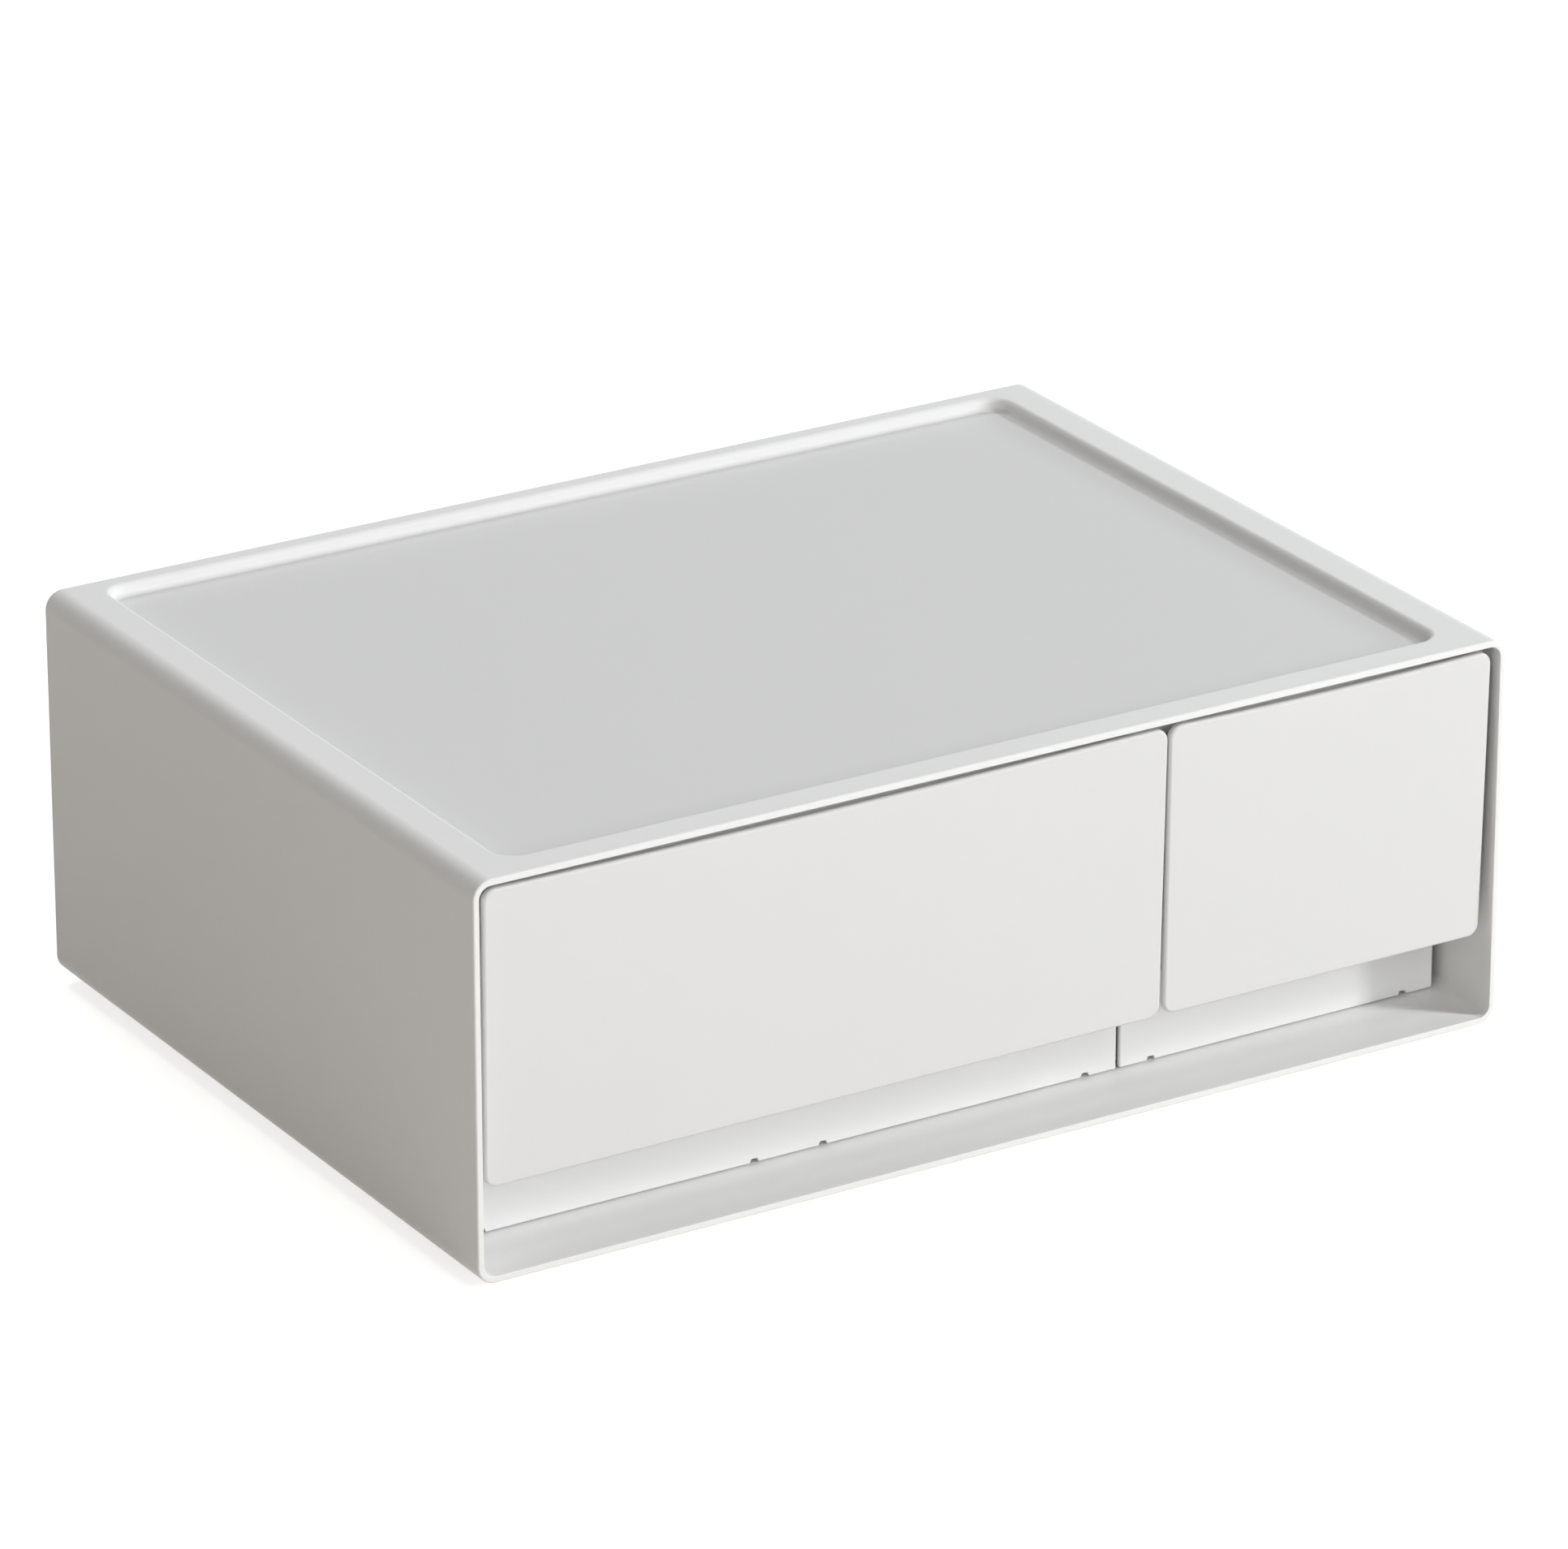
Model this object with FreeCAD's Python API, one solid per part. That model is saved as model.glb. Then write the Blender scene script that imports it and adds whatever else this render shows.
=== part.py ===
import FreeCAD, Part
import math
import os

# A stackable drawer box in white plastic. A sleeve with a dished top holds a wide drawer and a narrow
# drawer side by side, and feet under it drop into the dished top of the box below.
# Lengths are millimetres. The origin is the middle of the footprint, on the surface that the box
# stands on. +X points to the right of the fronts, -Y points out of the fronts and +Z points up.

# Casing without its feet
casing_width = 340.0
casing_depth = 250.0
casing_height = 120.0
casing_wall = 2.0
casing_corner_radius = 5.6
casing_edge_round = 0.6
casing_mouth_round = 0.25

# Dished top
side_rim_width = 15.8
front_rim_width = 10.8
back_rim_width = 6.0
dish_depth = 4.0
dish_corner_radius = 7.0
dish_lip_round = 1.5
dish_foot_round = 1.5

# Feet and their pads
foot_height = 3.0
foot_ring_radius = 10.0
foot_ring_round = 0.4
foot_pad_radius = 7.5
foot_pad_proud = 1.2
foot_pad_round = 0.5
foot_pad_fit = 0.1
stacking_play = 0.8

# Back panel with the seat in front of it and the snap ridges behind it
back_panel_thickness = 2.0
back_panel_fit = 0.3
back_seat_width = 2.0
back_seat_thickness = 1.6
snap_ridge_height = 0.5
snap_ridge_thickness = 1.2
snap_ridge_length = 18.0
snap_ridge_gap = 0.1

# Modules across the casing: the wide drawer takes two of them and the narrow drawer one
module_count = 3
wide_module_count = 2
module_side_play = 1.95

# Guide ribs on the casing's floor, near both edges of each module
guide_inset = 11.3
guide_base_width = 2.4
guide_top_width = 1.2
guide_height = 1.4
guide_setback = 5.0
guide_side_play = 0.4
guide_top_play = 0.3

# Stop rib under the dish's front edge
stop_rib_drop = 3.0
stop_rib_play = 0.8
stop_rib_round = 0.5

# Trays
tray_front_setback = 25.0
tray_gap = 1.2
tray_lift = 0.4
tray_back_play = 2.5
tray_wall = 1.8
tray_floor = 2.0
tray_corner_radius = 5.0
tray_side_step = 2.0
tray_plate_round = 0.6
tray_foot_round = 0.4
tray_rim_round = 0.5
tray_inside_round = 2.8
guide_bead_height = 0.8
guide_bead_border = 1.6
guide_bead_round = 0.5

# Nibs on the trays' side walls, which meet the stop rib when a drawer is fully open
stop_nib_inset = 50.8
stop_nib_length = 9.0
stop_nib_ramp = 4.0
stop_nib_play = 0.6
stop_nib_round = 0.3
stop_play = 0.3

# Fronts
panel_setback = 1.4
panel_lean = 1.6
panel_thickness = 2.2
panel_top_gap = 1.8
panel_top_bow = 0.9
panel_side_gap = 2.1
panel_mid_gap = 0.7
panel_draft = 0.3
panel_corner_radius = 3.8
panel_edge_round = 0.9
panel_back_round = 0.4
finger_gap_height = 25.2

# Hood behind each front, which hooks over the tray's front wall
hood_thickness = 2.0
hood_round = 0.8
hook_round = 0.5
hood_cheek_rise = 8.0
hook_thickness = 1.8
hook_drop = 14.0
hook_play = 0.15
clip_width = 12.0
clip_height = 3.6
clip_below_hood = 4.0
clip_play = 0.3
gusset_thickness = 1.6
gusset_drop = 26.0
gusset_pitch = 55.0

# A fillet takes at most this share of the corner that it turns round
fillet_share = 0.9

# Cutting tools run this far past the faces they go through, and edges are found to within the slack
overrun = 5.0
slack = 0.005

# Levels and planes that several pieces share
front_y = -casing_depth / 2
back_y = casing_depth / 2
inner_half_width = casing_width / 2 - casing_wall
inner_corner_radius = casing_corner_radius - casing_wall
floor_z = foot_height + casing_wall
top_z = foot_height + casing_height
ceiling_z = top_z - casing_wall

dish_half_width = casing_width / 2 - side_rim_width
dish_front_y = front_y + front_rim_width
dish_back_y = back_y - back_rim_width
dish_z = top_z - dish_depth
dish_underside_z = dish_z - casing_wall
stop_rib_z = dish_underside_z - stop_rib_drop

back_seat_y = dish_back_y + casing_wall
back_ledge_y = back_seat_y - back_seat_thickness
back_panel_outer_y = back_seat_y + back_panel_thickness

guide_z = floor_z + guide_height
modules_half_width = inner_half_width - module_side_play
module_width = 2 * modules_half_width / module_count

tray_front_y = front_y + tray_front_setback
tray_back_y = back_ledge_y - tray_back_play
tray_z = floor_z + tray_lift
tray_floor_z = tray_z + tray_floor
tray_top_z = stop_rib_z - stop_rib_play
tray_inner_front_y = tray_front_y + tray_wall
hood_z = tray_top_z - hood_thickness
clip_head_z = hood_z - clip_below_hood
clip_foot_z = clip_head_z - clip_height
stop_face_y = tray_back_y - stop_nib_inset
drawer_travel = stop_face_y - dish_front_y - stop_play
groove_z = guide_z + guide_top_play

panel_top_z = ceiling_z - panel_top_gap
panel_bottom_z = floor_z + finger_gap_height
panel_height = panel_top_z - panel_bottom_z
panel_y = front_y + panel_setback


def vec(x, y, z):
    return FreeCAD.Vector(x, y, z)


def rounded_wire(corners, radius):
    """A closed flat outline through the corners, each of them rounded to the radius."""
    edges = []
    starts = []
    ends = []
    for i, corner in enumerate(corners):
        to_last = (corners[i - 1] - corner).normalize()
        to_next = (corners[(i + 1) % len(corners)] - corner).normalize()
        half_angle = to_last.getAngle(to_next) / 2
        inward = (to_last + to_next).normalize()
        start = corner + to_last * (radius / math.tan(half_angle))
        end = corner + to_next * (radius / math.tan(half_angle))
        middle = corner + inward * (radius / math.sin(half_angle) - radius)
        edges.append(Part.Arc(start, middle, end).toShape())
        starts.append(start)
        ends.append(end)
    for i, end in enumerate(ends):
        edges.append(Part.LineSegment(end, starts[(i + 1) % len(starts)]).toShape())
    return Part.Wire(Part.__sortEdges__(edges))


def prism(corners, direction, radius=0):
    """A solid that runs from the flat outline through the corners along the direction."""
    if radius > 0:
        wire = rounded_wire(corners, radius)
    else:
        wire = Part.makePolygon(corners + corners[:1])
    return Part.Face(wire).extrude(direction)


def block(low, high):
    """A box between two opposite corners."""
    size = high - low
    return Part.makeBox(size.x, size.y, size.z, low)


def upright_block(low, high, radius):
    """A box between two opposite corners, with its four upright edges rounded."""
    corners = [low, vec(high.x, low.y, low.z), vec(high.x, high.y, low.z), vec(low.x, high.y, low.z)]
    return prism(corners, vec(0, 0, high.z - low.z), radius)


def lengthways_block(low, high, radius):
    """A box between two opposite corners, with its four edges from front to back rounded."""
    corners = [low, vec(high.x, low.y, low.z), vec(high.x, low.y, high.z), vec(low.x, low.y, high.z)]
    return prism(corners, vec(0, high.y - low.y, 0), radius)


def edges_at_z(shape, z):
    """The edges of a shape that lie flat at the level z."""
    boxes = [(e, e.BoundBox) for e in shape.Edges]
    return [e for e, b in boxes if abs(b.ZMin - z) < slack and abs(b.ZMax - z) < slack]


def edges_at_y(shape, y):
    """The edges of a shape that lie in the upright plane y."""
    boxes = [(e, e.BoundBox) for e in shape.Edges]
    return [e for e, b in boxes if abs(b.YMin - y) < slack and abs(b.YMax - y) < slack]


def edges_along_x(shape, y, z):
    """The edges of a shape that run along X in the upright plane y, at the level z."""
    boxes = [(e, e.BoundBox) for e in edges_at_z(shape, z)]
    return [e for e, b in boxes if abs(b.YMin - y) < slack and abs(b.YMax - y) < slack]


def edges_along_y(shape, z):
    """The edges of a shape that run from front to back at the level z."""
    return [e for e in edges_at_z(shape, z) if e.BoundBox.XLength < slack]


def guide_places(first_module, last_module):
    """The X places of the guide ribs under a run of modules, counted from the left."""
    places = []
    for module in range(first_module, last_module + 1):
        left = module * module_width - modules_half_width
        places.append(left + guide_inset)
        places.append(left + module_width - guide_inset)
    return places


def guide_profile(x, y, side_play, foot_z, head_z):
    """The corners of a guide rib's section, or of its groove where there is play, with a straight foot."""
    base = guide_base_width / 2 + side_play
    head = guide_top_width / 2 + side_play
    return [
        vec(x - base, y, foot_z - overrun),
        vec(x + base, y, foot_z - overrun),
        vec(x + base, y, foot_z),
        vec(x + head, y, head_z),
        vec(x - head, y, head_z),
        vec(x - base, y, foot_z),
    ]


# Casing: the sleeve with its dished top, ribs, seat for the back panel and foot rings

def casing_outside():
    low = vec(-casing_width / 2, front_y, foot_height)
    high = vec(casing_width / 2, back_y, top_z)
    outside = lengthways_block(low, high, casing_corner_radius)
    dish = upright_block(
        vec(-dish_half_width, dish_front_y, dish_z),
        vec(dish_half_width, dish_back_y, top_z + overrun),
        dish_corner_radius,
    )
    dish = dish.makeFillet(dish_foot_round, edges_at_z(dish, dish_z))
    outside = outside.cut(dish)
    lip = [e for e in edges_at_z(outside, top_z) if round_the_dish(e)]
    return outside.makeFillet(dish_lip_round, lip)


def round_the_dish(edge):
    """Whether an edge lies on the outline of the dish, seen from above."""
    middle = edge.CenterOfMass
    return abs(middle.x) < dish_half_width + slack and dish_front_y - slack < middle.y < dish_back_y + slack


def snap_ridges():
    """Wedges that hold the back panel: two on each side wall, and two each on the floor and under the top."""
    near_y = back_panel_outer_y + snap_ridge_gap
    far_y = near_y + snap_ridge_thickness
    middle_z = (floor_z + ceiling_z) / 2
    ridges = []
    walls = []
    for share in (-1 / 4, 1 / 4):
        level = middle_z + share * (ceiling_z - floor_z)
        place = 2 * share * inner_half_width
        walls.append((vec(-inner_half_width, 0, level), vec(1, 0, 0), vec(0, 0, 1)))
        walls.append((vec(inner_half_width, 0, level), vec(-1, 0, 0), vec(0, 0, 1)))
        walls.append((vec(place, 0, floor_z), vec(0, 0, 1), vec(1, 0, 0)))
        walls.append((vec(place, 0, ceiling_z), vec(0, 0, -1), vec(1, 0, 0)))
    for middle, inward, along in walls:
        start = middle - along * (snap_ridge_length / 2)
        corners = [
            start - inward * overrun + vec(0, near_y, 0),
            start + inward * snap_ridge_height + vec(0, near_y, 0),
            start + vec(0, far_y, 0),
            start - inward * overrun + vec(0, far_y, 0),
        ]
        ridges.append(prism(corners, along * snap_ridge_length))
    return ridges


def casing_hollow():
    """The space inside the sleeve, less everything that stands into it."""
    hollow = lengthways_block(
        vec(-inner_half_width, front_y - overrun, floor_z),
        vec(inner_half_width, back_y + overrun, ceiling_z),
        inner_corner_radius,
    )
    dish_shell = upright_block(
        vec(-dish_half_width - casing_wall, dish_front_y - casing_wall, dish_underside_z),
        vec(dish_half_width + casing_wall, dish_back_y + casing_wall, top_z),
        dish_corner_radius + casing_wall,
    )
    stop_rib = block(
        vec(-casing_width / 2, dish_front_y - casing_wall, stop_rib_z),
        vec(casing_width / 2, dish_front_y, top_z),
    )
    foot_edges = edges_along_x(stop_rib, dish_front_y - casing_wall, stop_rib_z)
    foot_edges += edges_along_x(stop_rib, dish_front_y, stop_rib_z)
    stop_rib = stop_rib.makeFillet(stop_rib_round, foot_edges)
    seat = block(
        vec(-casing_width / 2, back_ledge_y, foot_height),
        vec(casing_width / 2, back_seat_y, top_z),
    )
    seat_window = block(
        vec(-inner_half_width + back_seat_width, back_ledge_y - overrun, floor_z + back_seat_width),
        vec(inner_half_width - back_seat_width, back_seat_y + overrun, dish_underside_z),
    )
    standing = [dish_shell, stop_rib, seat.cut(seat_window)]
    standing += snap_ridges()
    guide_front_y = tray_front_y + guide_setback
    for x in guide_places(0, module_count - 1):
        corners = guide_profile(x, guide_front_y, 0, floor_z, guide_z)
        standing.append(prism(corners, vec(0, back_seat_y - guide_front_y, 0)))
    return hollow.cut(standing)


def foot_places():
    """The middle of each foot, so that its ring stands clear of the dish's walls when boxes are stacked."""
    reach_x = dish_half_width - stacking_play - foot_ring_radius
    near_y = dish_front_y + stacking_play + foot_ring_radius
    far_y = dish_back_y - stacking_play - foot_ring_radius
    return {
        "front_left": vec(-reach_x, near_y, 0),
        "front_right": vec(reach_x, near_y, 0),
        "rear_left": vec(-reach_x, far_y, 0),
        "rear_right": vec(reach_x, far_y, 0),
    }


def in_mouth(edge):
    """Whether an edge lies round the opening for the drawers, inside the casing's walls."""
    box = edge.BoundBox
    across = max(abs(box.XMin), abs(box.XMax)) < inner_half_width + slack
    return across and box.ZMin > floor_z - slack and box.ZMax < ceiling_z + slack


def make_casing():
    casing = casing_outside().cut(casing_hollow())
    rims = [edge for edge in edges_at_y(casing, front_y) if not in_mouth(edge)]
    casing = casing.makeFillet(casing_edge_round, rims + edges_at_y(casing, back_y))
    mouth = [edge for edge in edges_at_y(casing, front_y) if in_mouth(edge)]
    casing = casing.makeFillet(casing_mouth_round, mouth)
    ring_height = foot_height - foot_pad_proud
    rings = []
    sockets = []
    for place in foot_places().values():
        foot = place + vec(0, 0, foot_pad_proud)
        ring = Part.makeCylinder(foot_ring_radius, ring_height + casing_wall / 2, foot)
        rings.append(ring.makeFillet(foot_ring_round, edges_at_z(ring, foot_pad_proud)))
        sockets.append(Part.makeCylinder(foot_pad_radius + foot_pad_fit, ring_height, foot))
    return casing.fuse(rings).cut(sockets).removeSplitter()


def make_foot_pad(place):
    pad = Part.makeCylinder(foot_pad_radius, foot_height, place)
    return pad.makeFillet(foot_pad_round, edges_at_z(pad, 0))


# Back panel: a plate between its seat and the snap ridges

def make_back_panel():
    return lengthways_block(
        vec(-inner_half_width + back_panel_fit, back_seat_y, floor_z + back_panel_fit),
        vec(inner_half_width - back_panel_fit, back_panel_outer_y, ceiling_z - back_panel_fit),
        inner_corner_radius,
    )


# Drawers: each one is a tray with a front that clips over its front wall

def drawer_sides(first_module, last_module):
    """The left and right ends of the front plate of a tray that spans a run of modules."""
    left = first_module * module_width - modules_half_width + tray_gap / 2
    right = (last_module + 1) * module_width - modules_half_width - tray_gap / 2
    return left, right


def tray_sides(left, right):
    """The outer faces of a tray's side walls, stepped in from the ends of its front plate."""
    return left + tray_side_step, right - tray_side_step


def hood_sides(left, right):
    """The hood stands on the flat part of the tray's front wall, between its rounded corners."""
    wall_left, wall_right = tray_sides(left, right)
    return wall_left + tray_corner_radius, wall_right - tray_corner_radius


def clip_places(left, right):
    """The middles of the two clips that lock a front to its tray."""
    quarter = (right - left) / 4
    return [left + quarter, right - quarter]


def make_tray(first_module, last_module):
    left, right = drawer_sides(first_module, last_module)
    wall_left, wall_right = tray_sides(left, right)
    tray = upright_block(
        vec(wall_left, tray_front_y - tray_corner_radius, tray_z),
        vec(wall_right, tray_back_y, tray_top_z),
        tray_corner_radius,
    )
    front_corners = block(
        vec(left, tray_front_y - tray_corner_radius - overrun, tray_z - overrun),
        vec(right, tray_front_y, tray_top_z + overrun),
    )
    tray = tray.cut(front_corners)
    plate = upright_block(
        vec(left, tray_front_y, tray_z),
        vec(right, tray_inner_front_y, tray_top_z),
        tray_plate_round,
    )
    tray = tray.fuse(plate).removeSplitter()
    tray = tray.makeFillet(tray_foot_round, edges_at_z(tray, tray_z))
    pocket = upright_block(
        vec(wall_left + tray_wall, tray_inner_front_y, tray_floor_z),
        vec(wall_right - tray_wall, tray_back_y - tray_wall, tray_top_z + overrun),
        tray_corner_radius - tray_wall,
    )
    inside_round = min(tray_inside_round, fillet_share * (tray_corner_radius - tray_wall))
    pocket = pocket.makeFillet(inside_round, edges_at_z(pocket, tray_floor_z))
    beads = []
    grooves = []
    bead_half_width = guide_base_width / 2 + guide_side_play + guide_bead_border
    bead_z = tray_floor_z + guide_bead_height
    for x in guide_places(first_module, last_module):
        bead = block(
            vec(x - bead_half_width, tray_front_y, tray_z),
            vec(x + bead_half_width, tray_back_y, bead_z),
        )
        beads.append(bead.makeFillet(guide_bead_round, edges_along_y(bead, bead_z)))
        corners = guide_profile(x, tray_front_y - overrun, guide_side_play, tray_z, groove_z)
        grooves.append(prism(corners, vec(0, tray_back_y - tray_front_y + 2 * overrun, 0)))
    tray = tray.cut(pocket.cut(beads))
    tray = tray.makeFillet(tray_rim_round, edges_at_z(tray, tray_top_z))
    hood_left, hood_right = hood_sides(left, right)
    saddle = block(
        vec(hood_left - clip_play, tray_front_y - overrun, hood_z),
        vec(hood_right + clip_play, tray_inner_front_y, tray_top_z + overrun),
    )
    windows = []
    for x in clip_places(left, right):
        windows.append(block(
            vec(x - clip_width / 2 - clip_play, tray_front_y - overrun, clip_foot_z - clip_play),
            vec(x + clip_width / 2 + clip_play, tray_inner_front_y + overrun, clip_head_z + clip_play),
        ))
    tray = tray.cut(grooves + [saddle] + windows)
    nibs = []
    nib_z = dish_underside_z - stop_nib_play
    for x in (wall_left, wall_right - tray_wall):
        corners = [
            vec(x, stop_face_y, tray_top_z - tray_wall),
            vec(x, stop_face_y, nib_z),
            vec(x, stop_face_y + stop_nib_length - stop_nib_ramp, nib_z),
            vec(x, stop_face_y + stop_nib_length, tray_top_z - tray_wall),
        ]
        nib = prism(corners, vec(tray_wall, 0, 0))
        nibs.append(nib.makeFillet(stop_nib_round, edges_at_z(nib, nib_z)))
    return tray.fuse(nibs).removeSplitter()


def panel_lean_at(z):
    """How far the front face of a panel leans back at the level z: the most at its foot."""
    return panel_lean * (panel_top_z - z) / panel_height


def panel_face_y(z):
    """Where the front face of a panel lies at the level z."""
    return panel_y + panel_lean_at(z)


def make_panel(left, right):
    """The plate of a front: it leans back, narrows towards its foot and its top edge dips in the middle."""
    half_width = (right - left) / 2
    half_foot = half_width - panel_draft
    bow_z = panel_top_z - panel_top_bow
    top_left = vec(-half_width, panel_lean_at(panel_top_z), panel_top_z)
    top_middle = vec(0, panel_lean_at(bow_z), bow_z)
    top_right = vec(half_width, panel_lean_at(panel_top_z), panel_top_z)
    bottom_right = vec(half_foot, panel_lean_at(panel_bottom_z), panel_bottom_z)
    bottom_left = vec(-half_foot, panel_lean_at(panel_bottom_z), panel_bottom_z)
    outline = Part.Wire([
        Part.Arc(top_left, top_middle, top_right).toShape(),
        Part.LineSegment(top_right, bottom_right).toShape(),
        Part.LineSegment(bottom_right, bottom_left).toShape(),
        Part.LineSegment(bottom_left, top_left).toShape(),
    ])
    panel = Part.Face(outline).extrude(vec(0, panel_thickness, 0))
    panel = panel.makeFillet(panel_corner_radius, [e for e in panel.Edges if goes_through_panel(e)])
    panel = panel.makeFillet(panel_edge_round, [e for e in panel.Edges if on_panel_plane(e, 0)])
    back_edges = [e for e in panel.Edges if on_panel_plane(e, panel_thickness)]
    panel = panel.makeFillet(panel_back_round, back_edges)
    return panel.translated(vec((left + right) / 2, panel_y, 0))


def make_front(first_module, last_module):
    left, right = drawer_sides(first_module, last_module)
    panel_left = left - tray_gap / 2 + panel_mid_gap / 2
    panel_right = right + tray_gap / 2 - panel_mid_gap / 2
    if first_module == 0:
        panel_left = -inner_half_width + panel_side_gap
    if last_module == module_count - 1:
        panel_right = inner_half_width - panel_side_gap
    panel = make_panel(panel_left, panel_right)

    hood_left, hood_right = hood_sides(left, right)
    middle_of_panel = panel_thickness / 2
    cheek_z = panel_bottom_z + hood_cheek_rise
    hook_front_y = tray_inner_front_y + hook_play
    hook_back_y = hook_front_y + hook_thickness
    roof = prism(
        [
            vec(hood_left, panel_face_y(tray_top_z) + middle_of_panel, tray_top_z),
            vec(hood_left, hook_back_y, tray_top_z),
            vec(hood_left, hook_back_y, hood_z - hook_drop),
            vec(hood_left, hook_front_y, hood_z - hook_drop),
            vec(hood_left, hook_front_y, hood_z),
            vec(hood_left, panel_face_y(hood_z) + middle_of_panel, hood_z),
        ],
        vec(hood_right - hood_left, 0, 0),
    )
    roof_edges = edges_along_x(roof, hook_back_y, tray_top_z) + edges_along_y(roof, tray_top_z)
    roof = roof.makeFillet(hood_round, roof_edges)
    hook_edges = edges_along_x(roof, hook_front_y, hood_z - hook_drop)
    hook_edges += edges_along_x(roof, hook_back_y, hood_z - hook_drop)
    roof = roof.makeFillet(hook_round, hook_edges)
    stiffeners = []
    for x in (hood_left, hood_right - hood_thickness):
        stiffeners.append(prism(
            [
                vec(x, panel_face_y(hood_z) + middle_of_panel, hood_z),
                vec(x, tray_front_y, hood_z),
                vec(x, tray_front_y, cheek_z),
                vec(x, panel_face_y(cheek_z) + middle_of_panel, cheek_z),
            ],
            vec(hood_thickness, 0, 0),
        ))
    gusset_count = round((hood_right - hood_left) / gusset_pitch) - 1
    gusset_step = (hood_right - hood_left) / (gusset_count + 1)
    for i in range(gusset_count):
        x = hood_left + (i + 1) * gusset_step - gusset_thickness / 2
        stiffeners.append(prism(
            [
                vec(x, panel_face_y(hood_z) + middle_of_panel, hood_z),
                vec(x, tray_front_y - clip_play, hood_z),
                vec(x, panel_face_y(hood_z - gusset_drop) + middle_of_panel, hood_z - gusset_drop),
            ],
            vec(gusset_thickness, 0, 0),
        ))
    clips = []
    for x in clip_places(left, right):
        clips.append(block(
            vec(x - clip_width / 2, tray_front_y + clip_play, clip_foot_z),
            vec(x + clip_width / 2, hook_back_y, clip_head_z),
        ))
    return panel.fuse([roof] + stiffeners + clips).removeSplitter()


def goes_through_panel(edge):
    """Whether an edge runs straight back through a panel's thickness."""
    box = edge.BoundBox
    return abs(box.YLength - panel_thickness) < slack and box.XLength < slack and box.ZLength < slack


def on_panel_plane(edge, depth):
    """Whether both ends and the middle of an edge lie a depth behind a panel's leaning front face."""
    points = edge.discretize(3)
    return all(abs(p.y - panel_lean_at(p.z) - depth) < slack for p in points)


# The whole box, one file for each piece

def make_box():
    narrow = wide_module_count
    last = module_count - 1
    pieces = {
        "casing_sleeve": make_casing(),
        "back_panel": make_back_panel(),
        "wide_drawer_tray": make_tray(0, wide_module_count - 1),
        "wide_drawer_front": make_front(0, wide_module_count - 1),
        "narrow_drawer_tray": make_tray(narrow, last),
        "narrow_drawer_front": make_front(narrow, last),
    }
    for corner, place in foot_places().items():
        pieces["foot_pad_" + corner] = make_foot_pad(place)
    return pieces


os.makedirs("parts", exist_ok=True)
print("each drawer travels", round(drawer_travel, 2))
for name, shape in make_box().items():
    shape.exportStep("parts/" + name + ".step")
    state = "valid" if shape.isValid() else "not valid"
    print(name, len(shape.Solids), "solid,", state, "volume", round(shape.Volume))
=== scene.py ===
import math

import bmesh
import bpy
from bpy.props import FloatProperty, FloatVectorProperty, IntProperty, PointerProperty
from bpy.types import Operator, Panel, PropertyGroup
from mathutils import Matrix, Vector


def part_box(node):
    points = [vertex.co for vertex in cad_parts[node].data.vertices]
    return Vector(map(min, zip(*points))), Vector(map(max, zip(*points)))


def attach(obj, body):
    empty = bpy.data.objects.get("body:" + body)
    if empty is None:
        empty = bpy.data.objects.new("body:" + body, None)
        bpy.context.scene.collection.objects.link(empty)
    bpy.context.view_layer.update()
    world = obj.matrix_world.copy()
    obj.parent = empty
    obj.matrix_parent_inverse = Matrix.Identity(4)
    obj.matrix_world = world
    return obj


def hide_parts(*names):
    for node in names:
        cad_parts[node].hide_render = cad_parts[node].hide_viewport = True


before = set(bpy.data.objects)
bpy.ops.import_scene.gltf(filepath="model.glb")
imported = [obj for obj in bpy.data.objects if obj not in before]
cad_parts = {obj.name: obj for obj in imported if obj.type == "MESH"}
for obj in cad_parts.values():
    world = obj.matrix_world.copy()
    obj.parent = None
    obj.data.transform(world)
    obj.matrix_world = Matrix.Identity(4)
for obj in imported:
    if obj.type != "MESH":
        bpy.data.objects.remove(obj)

bl_info = {
    "name": "Stackable Drawer Box",
    "version": (1, 0, 0),
    "blender": (4, 5, 0),
    "location": "3D View > Sidebar > Drawer Box",
    "description": "Finishes the moulded pieces of a stackable drawer box and sets up its studio",
    "category": "Object",
}

# Metres and degrees, as they are typed below
MM = 0.001
DEG = math.pi / 180

# What the frame says of the pieces
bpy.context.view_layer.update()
SLEEVE_LOW, SLEEVE_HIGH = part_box("casing_sleeve")
PAD_NODES = sorted(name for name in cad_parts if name.startswith("foot_pad_"))
MIDDLE = Vector((0, 0, SLEEVE_HIGH.z / 2))

# The dished top: its rims, its depth, the soft edges of its floor, the painted shade that darkens that
# floor, and the floor's rougher finish
SIDE_RIM = 15.8 * MM
FRONT_RIM = 10.8 * MM
BACK_RIM = 6.0 * MM
DISH_DEPTH = 4.0 * MM
DISH_PLAN_EDGE = 2 * MM
DISH_LEVEL_EDGE = 1 * MM
DISH_PAINTED_SHADE = 0.885
DISH_ROUGHER = 0.14
DISH_GRAIN_TIMES = 2

# Plastic: how rough each piece is, the widths of the clouds and patches in its tint, and its surface's waves
CASING_ROUGHNESS = 0.46
FRONT_ROUGHNESS = 0.42
TRAY_ROUGHNESS = 0.44
CLOUD_WIDTH = 60 * MM
PATCH_WIDTH = 9 * MM
WAVE_WIDTH = 28 * MM
WAVE_DEPTH = 0.03 * MM

# How strongly the clouds and patches show in the tint, and the patches and the grain in the gloss
CLOUD_SHARE = 0.7
TINT_SPREAD = 0.015
PATCH_GLOSS = 0.08
GRAIN_GLOSS = 0.06
PLASTIC_IOR = 1.49

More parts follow.
